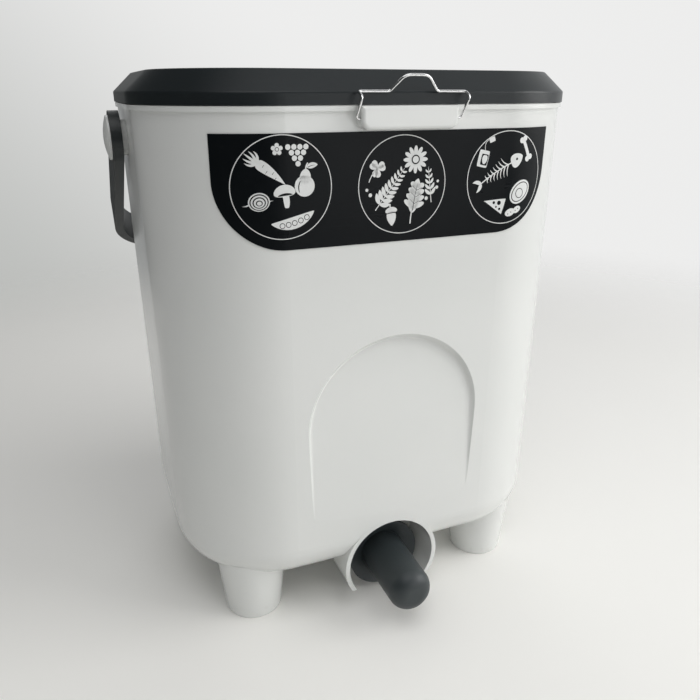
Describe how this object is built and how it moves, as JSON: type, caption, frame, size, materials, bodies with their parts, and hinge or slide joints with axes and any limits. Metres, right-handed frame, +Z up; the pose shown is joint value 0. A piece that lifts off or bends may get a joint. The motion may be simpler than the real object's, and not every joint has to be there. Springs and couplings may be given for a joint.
{
  "type": "kitchen compost bin",
  "caption": "Kitchen compost bin: a white footed tub with a hinged black lid, a sprung wire latch, a black carrying bail, a drain tap in an arched pocket and a perforated floor.",
  "frame": {"origin": "on the standing surface, under the middle of the bounding box at rest", "axes": "+Z up; the front with the label, latch and tap faces -Y; +X is to the right for someone who faces the front"},
  "size_m": [0.343, 0.307, 0.4],
  "materials": {
    "white_plastic": "glossy moulded polypropylene, white",
    "black_plastic": "satin moulded polypropylene, near black",
    "label_film": "in-mould printed film, near black with white line drawings",
    "seal_rubber": "soft moulded rubber",
    "wire_steel": "bright plated spring wire",
    "pin_steel": "drawn stainless steel"
  },
  "bodies": {
    "bin": {"bin_body": "white_plastic", "front_label": "label_film", "lid_hinge_pin": "pin_steel", "bail_stud_left": "white_plastic", "bail_stud_right": "white_plastic", "stud_washer_left": "pin_steel", "stud_washer_right": "pin_steel", "stud_screw_left": "pin_steel", "stud_screw_right": "pin_steel", "tap_body": "black_plastic", "tap_washer_outer": "seal_rubber", "tap_washer_inner": "seal_rubber", "tap_nut": "black_plastic"},
    "lid": {"lid": "black_plastic", "lid_seal": "seal_rubber"},
    "latch": {"latch_wire": "wire_steel"},
    "handle": {"carry_handle": "black_plastic"},
    "knob": {"tap_knob": "black_plastic", "tap_plug": "black_plastic", "tap_seal_ring": "seal_rubber"},
    "grate": {"drain_grate": "white_plastic"}
  },
  "joints": [
    {"name": "lid_hinge", "type": "hinge", "parent": "bin", "child": "lid", "pos_m": [0, 0.14505, 0.381], "axis": [-1, 0, 0], "range_deg": [0, 105]},
    {"name": "latch_swing", "type": "hinge", "parent": "bin", "child": "latch", "pos_m": [0, -0.12076, 0.372], "axis": [1, 0, 0], "range_deg": [0, 175]},
    {"name": "handle_swing", "type": "hinge", "parent": "bin", "child": "handle", "pos_m": [0, 0.01005, 0.357], "axis": [1, 0, 0], "range_deg": [0, 250]},
    {"name": "tap_turn", "type": "hinge", "parent": "bin", "child": "knob", "pos_m": [0, -0.08318, 0.034], "axis": [0, 1, 0], "range_deg": [0, 90]},
    {"name": "grate_lift", "type": "slide", "parent": "bin", "child": "grate", "axis": [0, 0, 1], "range_m": [0, 0.24]}
  ]
}
